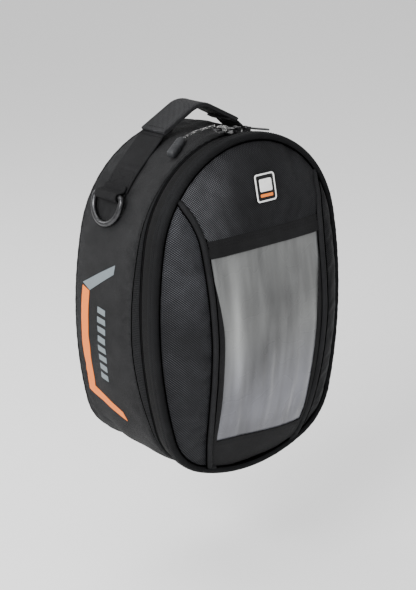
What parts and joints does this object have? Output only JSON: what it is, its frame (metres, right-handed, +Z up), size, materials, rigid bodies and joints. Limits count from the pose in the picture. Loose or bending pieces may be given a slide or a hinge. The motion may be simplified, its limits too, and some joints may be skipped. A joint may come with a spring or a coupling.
{
  "type": "motorcycle tank bag",
  "caption": "Soft motorcycle tank bag with a domed zip lid, clear phone window, carry handle, side D-rings and a padded base for the tank.",
  "frame": {"origin": "bottom centre of the bounding box: the bag stands on its flattened bottom edge", "axes": "+Z up to the handle, -Y out of the domed lid, +Y out of the base that lies on the tank, +X to the viewer's right when facing the lid"},
  "size_m": [0.2122, 0.1594, 0.3194],
  "materials": {
    "wall_fabric": "fine woven polyester, dark charcoal, matt",
    "coarse_fabric": "coarse ribbed weave, dark charcoal",
    "twill": "coarse diagonal twill, near black with a grey sheen",
    "zip_tape": "herringbone zip tape, black",
    "zip_coil": "nylon coil, black",
    "foam": "closed-cell foam, dark grey",
    "lining": "plain lining, dark grey",
    "base_rubber": "anti-slip sheet with a fine dimple, matt black",
    "magnet": "nickel plated",
    "board": "extruded board, matt black",
    "webbing": "flat polyester webbing, dark charcoal",
    "grip_webbing": "ribbed webbing, dark charcoal",
    "gunmetal": "black nickel plate, satin",
    "print_grey": "grey retroreflective print",
    "print_orange": "orange print",
    "window_film": "smoky clear film, wrinkled, satin gloss",
    "badge_rubber": "moulded soft badge, black with a pale border",
    "cord": "braided cord, black flecked with white",
    "cord_rubber": "moulded rubber, dark grey"
  },
  "bodies": {
    "shell": {"gusset_shell": "wall_fabric", "gusset_foam": "foam", "gusset_lining": "lining", "zip_facing": "coarse_fabric", "zip_tape_body": "zip_tape", "zip_coil_body": "zip_coil", "zip_end_tabs": "zip_tape", "rear_piping": "coarse_fabric", "base_panel": "base_rubber", "base_foam": "foam", "base_magnets": "magnet", "base_board": "board", "base_lining": "lining", "strap_patch_left": "webbing", "strap_patch_right": "webbing", "dring_loop_left": "webbing", "dring_loop_right": "webbing", "side_chevron_left": "print_grey", "side_chevron_right": "print_grey", "side_stripe_left": "print_orange", "side_stripe_right": "print_orange", "side_bars_left": "print_grey", "side_bars_right": "print_grey"},
    "lid": {"lid_rim_band": "coarse_fabric", "zip_tape_lid": "zip_tape", "zip_coil_lid": "zip_coil", "lid_foam": "foam", "lid_lining": "lining", "panel_top": "twill", "panel_left": "twill", "panel_right": "twill", "panel_bottom": "twill", "seam_piping_left": "wall_fabric", "seam_piping_right": "wall_fabric", "window_sheet": "window_film", "window_hem": "wall_fabric", "pocket_backing": "lining", "badge": "badge_rubber", "badge_bar": "print_orange", "lid_hinge_strip": "wall_fabric"},
    "slider_left": {"slider_left": "gunmetal"},
    "slider_right": {"slider_right": "gunmetal"},
    "pull_left": {"pull_tab_left": "gunmetal", "pull_cord": "cord", "pull_cord_knot": "cord", "pull_cord_end": "cord_rubber"},
    "pull_right": {"pull_tab_right": "gunmetal"},
    "dring_left": {"dring_left": "gunmetal"},
    "dring_right": {"dring_right": "gunmetal"},
    "handle": {"handle_grip": "grip_webbing"}
  },
  "joints": [
    {"name": "lid_hinge", "type": "hinge", "parent": "shell", "child": "lid", "pos_m": [0, -0.0289, 0], "axis": [1, 0, 0], "range_deg": [0, 110], "deforming": ["lid_hinge_strip"]},
    {"name": "slider_left_travel", "type": "hinge", "parent": "shell", "child": "slider_left", "pos_m": [0, -0.0289, 0.20058], "axis": [0, 1, 0], "range_deg": [-43, 0]},
    {"name": "slider_right_travel", "type": "hinge", "parent": "shell", "child": "slider_right", "pos_m": [0, -0.0289, 0.20058], "axis": [0, 1, 0], "range_deg": [0, 50]},
    {"name": "pull_left_flip", "type": "hinge", "parent": "slider_left", "child": "pull_left", "pos_m": [0.0069, -0.0289, 0.30174], "axis": [0, 1, 0], "range_deg": [0, 80]},
    {"name": "pull_right_flip", "type": "hinge", "parent": "slider_right", "child": "pull_right", "pos_m": [0.01796, -0.0289, 0.30037], "axis": [0, 1, 0], "range_deg": [-80, 0]},
    {"name": "dring_left_swing", "type": "hinge", "parent": "shell", "child": "dring_left", "pos_m": [-0.09017, 0.0253, 0.25159], "axis": [0, 1, 0], "range_deg": [0, 150]},
    {"name": "dring_right_swing", "type": "hinge", "parent": "shell", "child": "dring_right", "pos_m": [0.09017, 0.0253, 0.25159], "axis": [0, 1, 0], "range_deg": [-150, 0]},
    {"name": "handle_lean", "type": "hinge", "parent": "shell", "child": "handle", "pos_m": [0, 0.0253, 0.2986], "axis": [1, 0, 0], "range_deg": [-20, 20], "stiffness_Nm_per_rad": 0.05}
  ]
}
